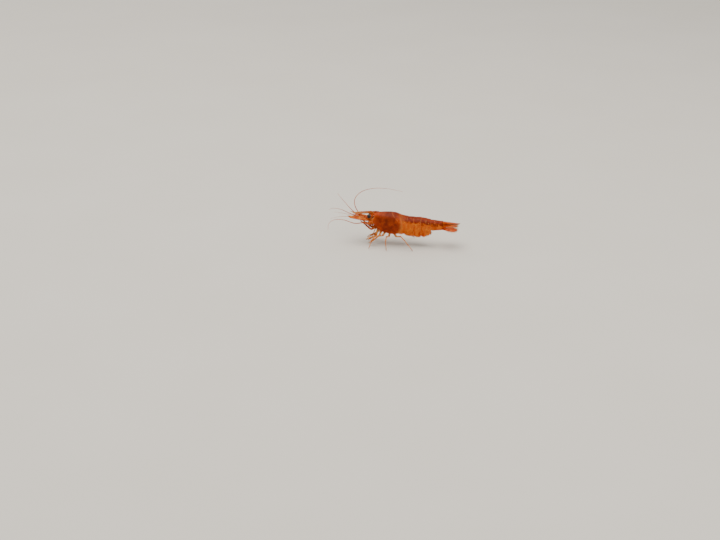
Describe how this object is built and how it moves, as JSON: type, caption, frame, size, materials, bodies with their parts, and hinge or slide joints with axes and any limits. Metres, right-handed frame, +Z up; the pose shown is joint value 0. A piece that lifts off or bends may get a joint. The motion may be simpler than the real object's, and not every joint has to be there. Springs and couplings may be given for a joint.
{
  "type": "cherry shrimp",
  "caption": "Life-size still model of an adult female red cherry shrimp, a small freshwater aquarium shrimp, standing on its walking legs with feelers spread.",
  "frame": {"origin": "on the floor under the middle of the model's box", "axes": "+X from tail to head, +Y to the animal's left, +Z up"},
  "size_m": [0.0296, 0.0189, 0.0108],
  "materials": {
    "carapace_shell": "glossy translucent chitin shell, dark mottled cherry red",
    "abdomen_shell": "glossy translucent chitin plates, orange red, darker along the back",
    "rostrum_horn": "clear pale red chitin blade",
    "eye": "wet black compound eye",
    "eyestalk": "clear stalk with red flecks",
    "feeler": "thin ringed feeler, translucent orange red",
    "antennal_scale": "thin clear orange blade fringed with hair",
    "limb": "translucent amber limb with dark red flecks at the joints",
    "swimmeret": "translucent orange paddle fringed with hair",
    "tail_fan": "translucent red fin fringed with hair"
  },
  "bodies": {
    "root": {"carapace": "carapace_shell", "rostrum": "rostrum_horn", "eye_left": "eye", "eyestalk_left": "eyestalk", "eye_right": "eye", "eyestalk_right": "eyestalk", "antennule_left": "feeler", "antennule_outer_left": "feeler", "antennule_inner_left": "feeler", "antenna_base_left": "feeler", "antenna_near_left": "feeler", "antenna_far_left": "feeler", "antennal_scale_left": "antennal_scale", "antennule_right": "feeler", "antennule_outer_right": "feeler", "antennule_inner_right": "feeler", "antenna_base_right": "feeler", "antenna_near_right": "feeler", "antenna_far_right": "feeler", "antennal_scale_right": "antennal_scale", "mouthparts": "limb", "maxilliped_left": "limb", "maxilliped_right": "limb", "claw_1_left": "limb", "claw_1_right": "limb", "claw_2_left": "limb", "claw_2_right": "limb", "leg_3_left": "limb", "leg_3_right": "limb", "leg_4_left": "limb", "leg_4_right": "limb", "leg_5_left": "limb", "leg_5_right": "limb", "abdomen_1": "abdomen_shell", "abdomen_2": "abdomen_shell", "abdomen_3": "abdomen_shell", "abdomen_4": "abdomen_shell", "abdomen_5": "abdomen_shell", "abdomen_6": "abdomen_shell", "pleopod_1_left": "swimmeret", "pleopod_1_right": "swimmeret", "pleopod_2_left": "swimmeret", "pleopod_2_right": "swimmeret", "pleopod_3_left": "swimmeret", "pleopod_3_right": "swimmeret", "pleopod_4_left": "swimmeret", "pleopod_4_right": "swimmeret", "pleopod_5_left": "swimmeret", "pleopod_5_right": "swimmeret", "telson": "tail_fan", "uropod_inner_left": "tail_fan", "uropod_inner_right": "tail_fan", "uropod_outer_left": "tail_fan", "uropod_outer_right": "tail_fan"}
  },
  "joints": []
}
